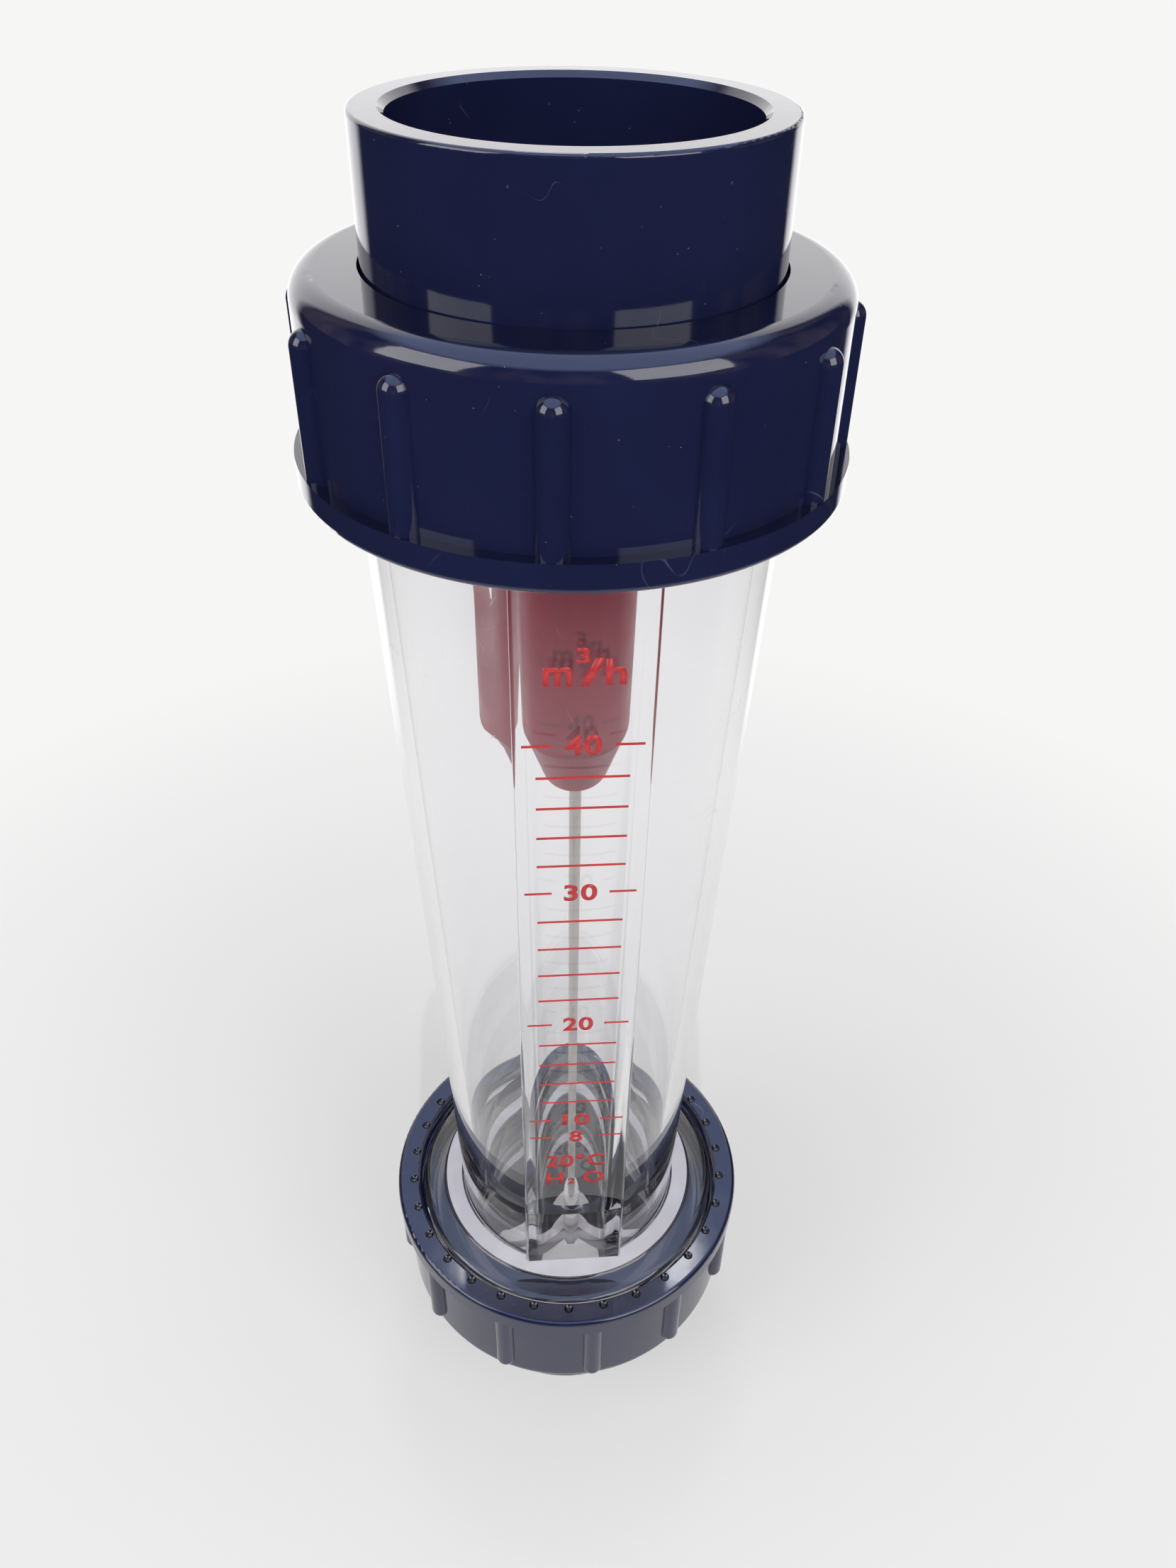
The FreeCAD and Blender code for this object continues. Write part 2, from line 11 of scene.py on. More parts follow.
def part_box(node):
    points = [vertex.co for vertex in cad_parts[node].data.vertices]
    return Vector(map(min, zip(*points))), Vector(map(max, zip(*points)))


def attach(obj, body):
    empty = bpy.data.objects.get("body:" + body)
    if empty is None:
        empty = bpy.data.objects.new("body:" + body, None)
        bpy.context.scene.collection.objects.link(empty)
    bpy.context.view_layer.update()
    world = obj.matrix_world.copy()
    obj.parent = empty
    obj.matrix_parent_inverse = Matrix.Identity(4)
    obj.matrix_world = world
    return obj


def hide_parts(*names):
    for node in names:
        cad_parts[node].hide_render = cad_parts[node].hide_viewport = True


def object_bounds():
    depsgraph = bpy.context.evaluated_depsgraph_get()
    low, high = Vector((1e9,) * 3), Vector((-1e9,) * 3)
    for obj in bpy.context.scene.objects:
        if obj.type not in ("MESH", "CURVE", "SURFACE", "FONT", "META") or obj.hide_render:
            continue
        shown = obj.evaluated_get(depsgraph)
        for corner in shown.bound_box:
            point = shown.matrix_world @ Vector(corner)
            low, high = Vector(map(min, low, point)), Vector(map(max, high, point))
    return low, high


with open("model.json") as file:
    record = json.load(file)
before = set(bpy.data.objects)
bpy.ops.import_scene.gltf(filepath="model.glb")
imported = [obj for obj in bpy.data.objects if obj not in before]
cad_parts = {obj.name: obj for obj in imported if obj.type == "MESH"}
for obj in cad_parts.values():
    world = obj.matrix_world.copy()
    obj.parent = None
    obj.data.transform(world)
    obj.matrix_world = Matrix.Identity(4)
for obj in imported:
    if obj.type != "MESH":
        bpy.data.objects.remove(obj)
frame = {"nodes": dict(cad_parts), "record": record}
cad_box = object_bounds()

MM = 0.001
BASE = cad_box[0][2]
TOP = cad_box[1][2]
TUBE_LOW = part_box("metering_tube")[0].z
TUBE_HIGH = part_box("metering_tube")[1].z


# ---- camera: where the picture was taken from ------------------------------------------------

CAMERA_DISTANCE = 0.2717  # from the pipe axis
CAMERA_RISE = 0.0458  # above the object's top
CAMERA_TURN = math.radians(-3.77)  # round the object
CAMERA_PITCH = math.radians(38.67)
CAMERA_YAW = math.radians(1.08)
CAMERA_ROLL = math.radians(1.12)
CAMERA_LENS = 28.07  # millimetres, as is the sensor's width
SENSOR_WIDTH = 36


def turn_about_z(vector, angle):
    return Matrix.Rotation(angle, 3, "Z") @ Vector(vector)


def add_camera():
    """A camera above and in front of the scale, looking down along the tube."""
    forward = Vector((math.sin(CAMERA_YAW) * math.cos(CAMERA_PITCH),
                      math.cos(CAMERA_YAW) * math.cos(CAMERA_PITCH),
                      -math.sin(CAMERA_PITCH)))
    level_right = Vector((math.cos(CAMERA_YAW), -math.sin(CAMERA_YAW), 0))
    level_up = level_right.cross(forward)
    right = level_right * math.cos(CAMERA_ROLL) + level_up * math.sin(CAMERA_ROLL)
    up = level_up * math.cos(CAMERA_ROLL) - level_right * math.sin(CAMERA_ROLL)
    right, up, forward = (turn_about_z(axis, CAMERA_TURN) for axis in (right, up, forward))
    data = bpy.data.cameras.new("camera")
    data.lens = CAMERA_LENS
    data.sensor_width = SENSOR_WIDTH
    camera = bpy.data.objects.new("camera", data)
    place = turn_about_z((0, -CAMERA_DISTANCE, 0), CAMERA_TURN)
    place.z = TOP + CAMERA_RISE
    turned = Matrix((right, up, -forward)).transposed().to_4x4()
    camera.matrix_world = Matrix.Translation(place) @ turned
    bpy.context.scene.collection.objects.link(camera)
    bpy.context.scene.camera = camera


# ---- node trees ------------------------------------------------------------------------------

class Nodes:
    """Short names for building the node tree of a material or of the world."""

    def __init__(self, owner, output, coordinates):
        owner.use_nodes = True
        self.owner = owner
        self.tree = owner.node_tree
        self.tree.nodes.clear()
        self.output = self.add(output)
        self.place = self.add("ShaderNodeTexCoord").outputs[coordinates]

    def add(self, kind, **values):
        node = self.tree.nodes.new(kind)
        for key, value in values.items():
            setattr(node, key, value)
        return node

    def link(self, source, target):
        self.tree.links.new(source, target)

    def give(self, value, socket):
        """Links another node's output to a socket, or writes a plain value or colour on it."""
        if isinstance(value, bpy.types.NodeSocket):
            self.link(value, socket)
        elif isinstance(value, tuple):
            socket.default_value = (*value, 1)
        else:
            socket.default_value = value

    def noise(self, scale, detail=4.0, roughness=0.55, stretch=None, distortion=0.0):
        """Noise over the object, scaled per metre and stretched along the axes."""
        node = self.add("ShaderNodeTexNoise")
        node.inputs["Scale"].default_value = scale
        node.inputs["Detail"].default_value = detail
        node.inputs["Roughness"].default_value = roughness
        node.inputs["Distortion"].default_value = distortion
        self.link(self.stretched(stretch), node.inputs["Vector"])
        return node.outputs["Fac"]

    def stretched(self, stretch):
        if stretch is None:
            return self.place
        mapping = self.add("ShaderNodeMapping")
        mapping.inputs["Scale"].default_value = stretch
        self.link(self.place, mapping.inputs["Vector"])
        return mapping.outputs["Vector"]

    def remap(self, source, low, high, to_low=0.0, to_high=1.0):
        """Turns the range from low to high into another, and holds its ends beyond them."""
        node = self.add("ShaderNodeMapRange")
        node.inputs["From Min"].default_value = low
        node.inputs["From Max"].default_value = high
        node.inputs["To Min"].default_value = to_low
        node.inputs["To Max"].default_value = to_high
        self.link(source, node.inputs["Value"])
        return node.outputs["Result"]

    def maths(self, operation, first, second=0):
        node = self.add("ShaderNodeMath", operation=operation)
        self.give(first, node.inputs[0])
        self.give(second, node.inputs[1])
        return node.outputs[0]

    def vector(self, operation, source):
        node = self.add("ShaderNodeVectorMath", operation=operation)
        self.link(source, node.inputs[0])
        return node

    def mix(self, factor, first, second):
        """One colour at a factor of 0, the other at 1."""
        node = self.add("ShaderNodeMix", data_type="RGBA")
        self.link(factor, node.inputs["Factor"])
        colours = [socket for socket in node.inputs if socket.type == "RGBA"]
        self.give(first, colours[0])
        self.give(second, colours[1])
        return [socket for socket in node.outputs if socket.type == "RGBA"][0]

    def mix_shaders(self, factor, first, second):
        node = self.add("ShaderNodeMixShader")
        for source, socket in zip((factor, first, second), node.inputs):
            self.link(source, socket)
        return node.outputs[0]

    def ray(self, kind):
        """1 for rays of one kind, 0 for the others."""
        return self.add("ShaderNodeLightPath").outputs[kind]

    def bump(self, height, strength, distance):
        node = self.add("ShaderNodeBump")
        node.inputs["Strength"].default_value = strength
        node.inputs["Distance"].default_value = distance
        self.link(height, node.inputs["Height"])
        return node.outputs["Normal"]

    def mottled(self, scale, tones, detail=4.0):
        """A colour that wanders between two tones."""
        return self.mix(self.remap(self.noise(scale, detail), 0.35, 0.65), *tones)

    def uneven(self, scale, low, high, detail):
        """A value that wanders between two others."""
        return self.remap(self.noise(scale, detail), 0.3, 0.7, low, high)

    def scratches(self, scale, width, stretch):
        """Thin curved hairlines: the near-zero crossings of a warped noise, broken into strokes."""
        lines = self.noise(scale, 1.0, 0.3, (1.0, 1.0, stretch), 0.6)
        off_line = self.maths("ABSOLUTE", self.maths("SUBTRACT", lines, 0.5))
        near = self.remap(off_line, 0, width, 1, 0)
        strokes = self.remap(self.noise(scale * 1.7, 2.0, 0.5, (1.3, 0.8, 1.0)), 0.56, 0.62)
        return self.maths("MULTIPLY", near, strokes)

    def specks(self, scale, size):
        """Sparse dust specks."""
        node = self.add("ShaderNodeTexVoronoi")
        node.inputs["Scale"].default_value = scale
        self.link(self.place, node.inputs["Vector"])
        near = self.remap(node.outputs["Distance"], size * 0.6, size, 1, 0)
        chosen = self.remap(self.noise(scale * 0.37, 1.0), 0.67, 0.70)
        return self.maths("MULTIPLY", near, chosen)

    def along(self, axis, source):
        """One coordinate, X, Y or Z, of a vector."""
        node = self.add("ShaderNodeSeparateXYZ")
        self.link(source, node.inputs[0])
        return node.outputs[axis]

    def level_place(self):
        """The place or direction with its height left out."""
        node = self.vector("MULTIPLY", self.place)
        node.inputs[1].default_value = (1, 1, 0)
        return node.outputs[0]

    def axis_distance(self):
        """How far a point is from the pipe axis."""
        return self.vector("LENGTH", self.level_place()).outputs["Value"]

    def bearing(self):
        """1 straight behind the object, 0 beside it and -1 straight in front."""
        return self.along("Y", self.vector("NORMALIZE", self.level_place()).outputs[0])

    def height_from(self, middle):
        """How far a point is above or below a height."""
        return self.maths("ABSOLUTE", self.maths("SUBTRACT", self.along("Z", self.place), middle))

    def band(self, source, low, high, soft):
        """1 between two values, 0 outside them."""
        rise = self.remap(source, low - soft, low + soft)
        fall = self.remap(source, high - soft, high + soft, 1, 0)
        return self.maths("MULTIPLY", rise, fall)

    def principled(self, **values):
        shader = self.add("ShaderNodeBsdfPrincipled")
        for name, value in values.items():
            self.give(value, shader.inputs[name.replace("_", " ")])
        return shader.outputs[0]

    def shining(self, kind, colour, strength=1.0):
        """A shader that gives off a colour, as an emission or as a background."""
        shader = self.add(kind)
        self.give(colour, shader.inputs["Color"])
        shader.inputs["Strength"].default_value = strength
        return shader.outputs[0]

    def finish(self, shader):
        self.link(shader, self.output.inputs["Surface"])
        return self.owner


def material_nodes(name):
    return Nodes(bpy.data.materials.new(name), "ShaderNodeOutputMaterial", "Object")


# ---- materials -------------------------------------------------------------------------------

# pairs are the two tones that a colour wanders between
NAVY = ((0.0078, 0.0100, 0.0370), (0.0098, 0.0125, 0.0435))
NAVY_SCRATCHED = (0.13, 0.15, 0.22)
NAVY_SHADED = (0.0015, 0.0018, 0.006)
NAVY_RING = (0.008, 0.0105, 0.042)
DUST = (0.42, 0.43, 0.48)
FLOAT_RED = ((0.27, 0.038, 0.055), (0.32, 0.046, 0.065))
FLOAT_SCRATCHED = (0.55, 0.22, 0.24)
STEEL = ((0.52, 0.49, 0.45), (0.58, 0.55, 0.51))
GUIDE_PALE = ((0.68, 0.67, 0.69), (0.76, 0.75, 0.76))
BUSH_PALE = ((0.72, 0.71, 0.68), (0.80, 0.79, 0.76))
RUBBER = ((0.010, 0.012, 0.022), (0.016, 0.018, 0.032))
CLEAR = (0.96, 0.955, 0.965)
CLEAR_SHADOW = (0.90, 0.90, 0.93)
# pale tones of the painted reflection on the lower collar's face, not a frosting of the real part
PAINTED_REFLECTION_PALE = ((0.56, 0.54, 0.58), (0.63, 0.62, 0.65))
INK_RED = ((0.40, 0.014, 0.018), (0.48, 0.022, 0.026))

# the ring of hollows in each nut's end face, and the bore of the guides' outer ring
RECESS_RADIUS = 57.3 * MM
RECESS_REACH = 1.75 * MM
RECESS_DEPTH = 1.1 * MM
RECESS_EDGE = 0.12 * MM
GUIDE_BORE = 32.6 * MM
GUIDE_EDGE = 0.1 * MM


def in_recesses(n):
    """1 inside the small hollows of the nuts' end faces, where little light gets in."""
    middle = (BASE + TOP) / 2
    face = abs(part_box("top_union_nut")[0].z - middle)
    deep = n.band(n.height_from(middle), face + RECESS_EDGE, face + RECESS_DEPTH, RECESS_EDGE / 2)
    under = n.band(n.axis_distance(), RECESS_RADIUS - RECESS_REACH, RECESS_RADIUS + RECESS_REACH,
                   RECESS_EDGE)
    return n.maths("MULTIPLY", deep, under)


def navy_plastic():
    """Deep navy moulded plastic: glossy, with faint flow marks, hairlines and dust."""
    n = material_nodes("navy_plastic")
    hairlines = n.scratches(38, 0.0022, 0.9)
    worn = n.mix(n.maths("MULTIPLY", hairlines, 0.30), n.mottled(28, NAVY), NAVY_SCRATCHED)
    dusty = n.mix(n.maths("MULTIPLY", n.specks(900, 0.13), 0.35), worn, DUST)
    colour = n.mix(in_recesses(n), dusty, NAVY_SHADED)
    rough = n.maths("ADD", n.uneven(90, 0.05, 0.10, 5), n.maths("MULTIPLY", hairlines, 0.2))
    ripple = n.maths("ADD", n.noise(45, 3), n.maths("MULTIPLY", hairlines, -0.2))
    return n.finish(n.principled(Base_Color=colour, Roughness=rough, IOR=1.54,
                                 Normal=n.bump(ripple, 0.12, 0.0004)))


def red_plastic():
    """Red moulded float plastic."""
    n = material_nodes("red_plastic")
    hairlines = n.maths("MULTIPLY", n.scratches(70, 0.008, 1.1), 0.3)
    colour = n.mix(hairlines, n.mottled(40, FLOAT_RED), FLOAT_SCRATCHED)
    return n.finish(n.principled(Base_Color=colour, Roughness=n.uneven(120, 0.28, 0.42, 4), IOR=1.5,
                                 Normal=n.bump(n.noise(160, 3), 0.1, 0.0003)))


def steel(name):
    """Drawn stainless steel: satin, with faint marks along it."""
    n = material_nodes(name)
    drawn = n.noise(60, 2, 0.4, (6.0, 6.0, 0.4))
    return n.finish(n.principled(Base_Color=n.mix(n.remap(drawn, 0.3, 0.7), *STEEL), Metallic=0.6,
                                 Roughness=n.remap(drawn, 0.3, 0.7, 0.42, 0.52),
                                 Normal=n.bump(drawn, 0.1, 0.0001)))


def matt_moulding(n, colour, rough_low, rough_high):
    """The finish of a matt moulded piece, in a colour that is already worked out."""
    rough = n.uneven(200, rough_low, rough_high, 3)
    return n.finish(n.principled(Base_Color=colour, Roughness=rough,
                                 Normal=n.bump(n.noise(500, 2), 0.15, 0.0002)))


def plain_plastic(name, tones, rough_low, rough_high):
    """A matt moulded plastic with slight mottling."""
    n = material_nodes(name)
    return matt_moulding(n, n.mottled(80, tones), rough_low, rough_high)


def guide_plastic():
    """Pale moulded hubs and arms in a navy ring."""
    n = material_nodes("guide_plastic")
    ring = n.remap(n.axis_distance(), GUIDE_BORE - GUIDE_EDGE, GUIDE_BORE + GUIDE_EDGE)
    return matt_moulding(n, n.mix(ring, n.mottled(80, GUIDE_PALE), NAVY_RING), 0.35, 0.5)


def clear_plastic():
    """Clear moulded plastic, with light scuffs; its shadow is light and hardly tinted."""
    n = material_nodes("clear_plastic")
    hairlines = n.maths("MULTIPLY", n.scratches(60, 0.007, 1.3), 0.2)
    scuffs = n.remap(n.noise(26, 6, 0.65, (1.0, 1.0, 0.6)), 0.60, 0.78, 0.0, 0.03)
    ripple = n.noise(14, 2, 0.4, (1.0, 1.0, 0.35))
    glass = n.principled(Base_Color=CLEAR, Roughness=n.maths("ADD", scuffs, hairlines), IOR=1.57,
                         Transmission_Weight=1.0, Normal=n.bump(ripple, 0.12, 0.0006))
    shadow = n.add("ShaderNodeBsdfTransparent")
    n.give(CLEAR_SHADOW, shadow.inputs["Color"])
    return n.finish(n.mix_shaders(n.ray("Is Shadow Ray"), glass, shadow.outputs[0]))


def matt_plastic():
    """Painted reflection: a pale opaque matt finish on the lower collar's face, standing in for the
    bright ring of reflected light there.
    """
    n = material_nodes("matt_plastic")
    return n.finish(n.principled(Base_Color=n.mottled(60, PAINTED_REFLECTION_PALE), IOR=1.5,
                                 Roughness=n.uneven(150, 0.3, 0.45, 3),
                                 Normal=n.bump(n.noise(400, 2), 0.1, 0.0002)))


def scale_ink():
    """Red screen print, slightly uneven."""
    n = material_nodes("scale_ink")
    return n.finish(n.principled(Base_Color=n.mottled(300, INK_RED, 3),
                                 Roughness=n.uneven(700, 0.35, 0.5, 2)))


# ---- the clear tube, as in the CAD model but with its threads --------------------------------

THREAD_CREST = 55.0 * MM
THREAD_ROOT = 53.6 * MM
THREAD_PITCH = 6.0 * MM
THREAD_PLAY = 0.3 * MM
THREAD_FADE = 0.4 * THREAD_PITCH
FLANK_STEEPNESS = 5
FLANK_START = 0.7
SLEEVE_WALL = 0.4 * MM
COLLAR_HEIGHT = 28.6 * MM
PLAIN_HEIGHT = 3.6 * MM  # of the collar, between its thread and its face
CONE_LOW = 38.7 * MM
CONE_HIGH = 50.4 * MM
ROOT_ROUND = 1.28 * MM
INLET_RADIUS = 31.0 * MM
INLET_TOP = TUBE_LOW + 55.0 * MM
WALL_LOW = 4.6 * MM
WALL_HIGH = 5.2 * MM
LAND_HALF = 16.6 * MM
LAND_LOW = 38.6 * MM
LAND_HIGH = 47.9 * MM
LAND_ROUND = 1.0 * MM
LAND_STEP = 1.05 * LAND_ROUND  # least height of the land's side
SEAT_GAP = 0.3 * MM
SEAT_DEPTH = 8.0 * MM
LOWER_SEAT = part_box("lower_guide")[1].y + SEAT_GAP
UPPER_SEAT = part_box("upper_guide")[1].y + SEAT_GAP
NECK_LOW = TUBE_LOW + COLLAR_HEIGHT
NECK_HIGH = TUBE_HIGH - COLLAR_HEIGHT
COLLAR_FACE_RADIUS = 45.3 * MM
# how far below the collar's face each step of its edge lies, and its radius
COLLAR_EDGE = [(2.6 * MM, THREAD_ROOT), (1.9 * MM, 52.9 * MM), (1.5 * MM, 51.9 * MM),
               (1.3 * MM, 51.0 * MM), (1.0 * MM, 46.4 * MM), (0.7 * MM, 45.8 * MM),
               (0, COLLAR_FACE_RADIUS)]
FLATNESS = 0.05 * MM

FRONT_STEPS = 24
CORNER_STEPS = 4
ROUND_STEPS = 168
BLEND_STEPS = 3  # from the land's side to the cone's own radius
THREAD_STEPS = 56
ROOT_STEPS = 6
CONE_STEPS = 30
SHARP_ANGLE = math.radians(32)


def grid_object(name, rings, material):
    """A closed skin over rings of equal count, the last ring joined back to the first."""
    columns = len(rings[0])
    rows = len(rings)
    points = [point for ring in rings for point in ring]
    faces = []
    for row in range(rows):
        following = (row + 1) % rows
        for column in range(columns):
            beside = (column + 1) % columns
            faces.append((row * columns + column, row * columns + beside,
                          following * columns + beside, following * columns + column))
    mesh = bpy.data.meshes.new(name)
    mesh.from_pydata(points, [], faces)
    mesh.update()
    mesh.polygons.foreach_set("use_smooth", [True] * len(mesh.polygons))
    mesh.set_sharp_from_angle(angle=SHARP_ANGLE)
    mesh.materials.append(material)
    item = bpy.data.objects.new(name, mesh)
    bpy.context.scene.collection.objects.link(item)
    return item


def share_up(z):
    """0 at the cone's foot and 1 at its head."""
    return (z - NECK_LOW) / (NECK_HIGH - NECK_LOW)


def cone_radius(z):
    return CONE_LOW + (CONE_HIGH - CONE_LOW) * share_up(z)


def land_distance(z):
    """How far the land's flat face is from the pipe axis."""
    return LAND_LOW + (LAND_HIGH - LAND_LOW) * share_up(z)


def land_ring(z, radius):
    """One section of the cone with its flat land, starting at the land's left corner."""
    front = land_distance(z)
    flat_half = LAND_HALF - LAND_ROUND
    corner = []
    for step in range(1, CORNER_STEPS + 1):
        angle = math.pi / 2 * step / CORNER_STEPS
        corner.append((flat_half + LAND_ROUND * math.sin(angle),
                       -front + LAND_ROUND * (1 - math.cos(angle))))
    foot = max(-math.sqrt(radius ** 2 - LAND_HALF ** 2), -front + LAND_STEP)
    foot_radius = math.hypot(LAND_HALF, foot)
    start = math.atan2(LAND_HALF, -foot)

    points = [Vector(((2 * step / FRONT_STEPS - 1) * flat_half, -front, z))
              for step in range(FRONT_STEPS + 1)]
    points += [Vector((x, y, z)) for x, y in corner]
    for step in range(ROUND_STEPS + 1):
        angle = start + (2 * math.pi - 2 * start) * step / ROUND_STEPS
        blend = min(1, min(step, ROUND_STEPS - step) / BLEND_STEPS)
        reach = foot_radius + (radius - foot_radius) * blend
        points.append(Vector((reach * math.sin(angle), -reach * math.cos(angle), z)))
    points += [Vector((-x, y, z)) for x, y in reversed(corner)]
    return points


COLUMN_ANGLES = [math.atan2(p.x, -p.y) for p in land_ring(NECK_LOW, cone_radius(NECK_LOW))]


def round_ring(z, radius):
    """A circle, or a circle whose radius depends on the angle, on the tube's columns."""
    reach = radius if callable(radius) else (lambda angle: radius)
    return [Vector((reach(a) * math.sin(a), -reach(a) * math.cos(a), z)) for a in COLUMN_ANGLES]


def smooth_step(value):
    value = max(0.0, min(1.0, value))
    return value * value * (3 - 2 * value)


def thread_rings(upper, plain, play=0.0):
    """Rings up a right-hand thread, which runs out to a plain radius at its two ends."""
    if upper:
        start, end = NECK_HIGH + PLAIN_HEIGHT, TUBE_HIGH
    else:
        start, end = TUBE_LOW, NECK_LOW - PLAIN_HEIGHT

    def radius(angle, z):
        phase = ((z - start) / THREAD_PITCH - angle / (2 * math.pi)) % 1
        ridge = smooth_step((0.5 - abs(phase - 0.5)) * FLANK_STEEPNESS - FLANK_START)
        threaded = THREAD_ROOT + (THREAD_CREST - THREAD_ROOT) * ridge
        fade = max(0.0, min(1.0, (z - start) / THREAD_FADE, (end - z) / THREAD_FADE))
        return plain + (threaded - plain) * fade + play

    heights = [start + (end - start) * step / THREAD_STEPS for step in range(THREAD_STEPS + 1)]
    return [round_ring(z, lambda angle, z=z: radius(angle, z)) for z in heights]


def root_fillet(z_face, direction):
    """Rings of the rounded root where the cone meets a collar face."""
    rings = []
    for step in range(ROOT_STEPS + 1):
        angle = math.pi / 2 * step / ROOT_STEPS
        z = z_face + direction * ROOT_ROUND * (1 - math.cos(angle))
        flare = ROOT_ROUND * (1 - math.sin(angle))
        rings.append(land_ring(z, cone_radius(z) + flare))
    return rings


def bore_radius(z):
    low = CONE_LOW - WALL_LOW
    high = CONE_HIGH - WALL_HIGH
    return low + (high - low) * (z - INLET_TOP) / (NECK_HIGH - INLET_TOP)


def tube_rings():
    """The outside going up, then the bore coming down."""
    rings = thread_rings(False, THREAD_ROOT)
    rings += [round_ring(NECK_LOW - drop, radius) for drop, radius in COLLAR_EDGE]
    rings += root_fillet(NECK_LOW, 1)
    for step in range(1, CONE_STEPS):
        z = NECK_LOW + ROOT_ROUND + (NECK_HIGH - NECK_LOW - 2 * ROOT_ROUND) * step / CONE_STEPS
        rings.append(land_ring(z, cone_radius(z)))
    rings += reversed(root_fillet(NECK_HIGH, -1))
    rings += [round_ring(NECK_HIGH + drop, radius) for drop, radius in reversed(COLLAR_EDGE)]
    rings += thread_rings(True, THREAD_ROOT)
    bore_places = [
        (TUBE_HIGH, UPPER_SEAT), (TUBE_HIGH - SEAT_DEPTH, UPPER_SEAT),
        (TUBE_HIGH - SEAT_DEPTH, bore_radius(NECK_HIGH)), (NECK_HIGH, bore_radius(NECK_HIGH)),
        (INLET_TOP, bore_radius(INLET_TOP)), (INLET_TOP, INLET_RADIUS),
        (TUBE_LOW + SEAT_DEPTH, INLET_RADIUS), (TUBE_LOW + SEAT_DEPTH, LOWER_SEAT),
        (TUBE_LOW, LOWER_SEAT),
    ]
    return rings + [round_ring(z, radius) for z, radius in bore_places]


def clear_tube(clear, painted_reflection):
    """The metering tube as one closed skin, with a pale matt face painted on its lower collar as a
    painted reflection.
    """
    tube = grid_object("clear_tube", tube_rings(), clear)
    mesh = tube.data
    mesh.materials.append(painted_reflection)
    # the lower collar's upward face takes the painted reflection
    for face in mesh.polygons:
        on_face = all(abs(mesh.vertices[v].co.z - NECK_LOW) < FLATNESS for v in face.vertices)
        if on_face and face.normal.z > 0.99:
            face.material_index = 1
    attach(tube, "meter_body")
    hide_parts("metering_tube")


def nut_thread(name, upper, body, material):
    """The nut's inside thread, meshed with the tube's, on a sleeve set into the nut's wall."""
    inside = thread_rings(upper, THREAD_CREST, THREAD_PLAY)
    buried = THREAD_CREST + THREAD_PLAY + SLEEVE_WALL
    rings = inside + [round_ring(inside[-1][0].z, buried), round_ring(inside[0][0].z, buried)]
    rings.reverse()
    thread = grid_object(name, rings, material)
    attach(thread, body)


# ---- printed scale ---------------------------------------------------------------------------

INK_LIFT = 0.04 * MM
INK_DEPTH = 0.03 * MM
MARK_HEIGHTS = {8: 149.5 * MM, 10: 158.5 * MM, 20: 205.2 * MM, 30: 258.4 * MM, 40: 306.7 * MM}
MARK_STEP = 2
MARK_HALF = 11.2 * MM
DASH_INNER = 7.4 * MM  # a numbered mark is a dash on each side of its number
DASH_OUTER = 14.4 * MM
LINE_WIDTH = 0.75 * MM
DIGIT_HEIGHT = 5.95 * MM
ONE_DIGIT_WIDTH = 4.0 * MM
TWO_DIGIT_WIDTH = 8.6 * MM
FONT_BOLD = 0.03
FONT_SPACING = 1.08
FONT_CURVE_STEPS = 6

LETTERING = [
    # name, characters, mark it is placed from, and in mm: rise from there, across, height, width
    ("unit_metre", "m", 40, 19.5, -6.0, 5.2, 6.6),
    ("unit_cubed", "3", 40, 24.9, -0.4, 4.3, 3.1),
    ("unit_slash", "/", 40, 20.5, 1.75, 7.6, 5.6),
    ("unit_hour", "h", 40, 20.5, 7.0, 7.1, 4.7),
    ("note_temperature", "20°C", 8, -13.5, 0.0, 7.0, 19.0),
    ("note_hydrogen", "H", 8, -23.5, -6.6, 6.8, 5.6),
    ("note_two", "2", 8, -25.5, -1.2, 3.4, 2.4),
    ("note_oxygen", "O", 8, -23.5, 6.0, 6.8, 7.0),
]


def lay_on_land(item, z):
    """Puts a printed piece on the land's middle line: X across, Y up the land, Z outwards."""
    up = Vector((0, LAND_LOW - LAND_HIGH, NECK_HIGH - NECK_LOW)).normalized()
    across = Vector((1, 0, 0))
    outward = across.cross(up)
    turned = Matrix((across, up, outward)).transposed().to_4x4()
    spot = Vector((0, -land_distance(z), z)) + outward * INK_LIFT
    item.matrix_world = Matrix.Translation(spot) @ turned
    bpy.context.scene.collection.objects.link(item)
    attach(item, "meter_body")


def ink_bars(name, z, spans, material):
    """Thin printed bars at one height, each from one place across to another."""
    points = []
    faces = []
    for start, end in spans:
        first = len(points)
        for depth in (-INK_DEPTH, 0):
            for x, y in ((start, -1), (end, -1), (end, 1), (start, 1)):
                points.append((x, y * LINE_WIDTH / 2, depth))
        sides = [(0, 3, 2, 1), (4, 5, 6, 7), (0, 1, 5, 4), (1, 2, 6, 5), (2, 3, 7, 6), (3, 0, 4, 7)]
        faces += [tuple(first + corner for corner in side) for side in sides]
    mesh = bpy.data.meshes.new(name)
    mesh.from_pydata(points, [], faces)
    mesh.materials.append(material)
    lay_on_land(bpy.data.objects.new(name, mesh), z)


def text_mesh(name, characters):
    """The flat outline of some characters, in Blender's own font."""
    data = bpy.data.curves.new(name, "FONT")
    data.body = characters
    data.align_x = "CENTER"
    data.align_y = "CENTER"
    data.size = 1.0
    data.offset = FONT_BOLD
    data.resolution_u = FONT_CURVE_STEPS
    data.space_character = FONT_SPACING
    shown = bpy.data.objects.new(name + "_curve", data)
    bpy.context.scene.collection.objects.link(shown)
    bpy.context.view_layer.update()
    evaluated = shown.evaluated_get(bpy.context.evaluated_depsgraph_get())
    mesh = bpy.data.meshes.new_from_object(evaluated)
    bpy.data.objects.remove(shown)
    return mesh


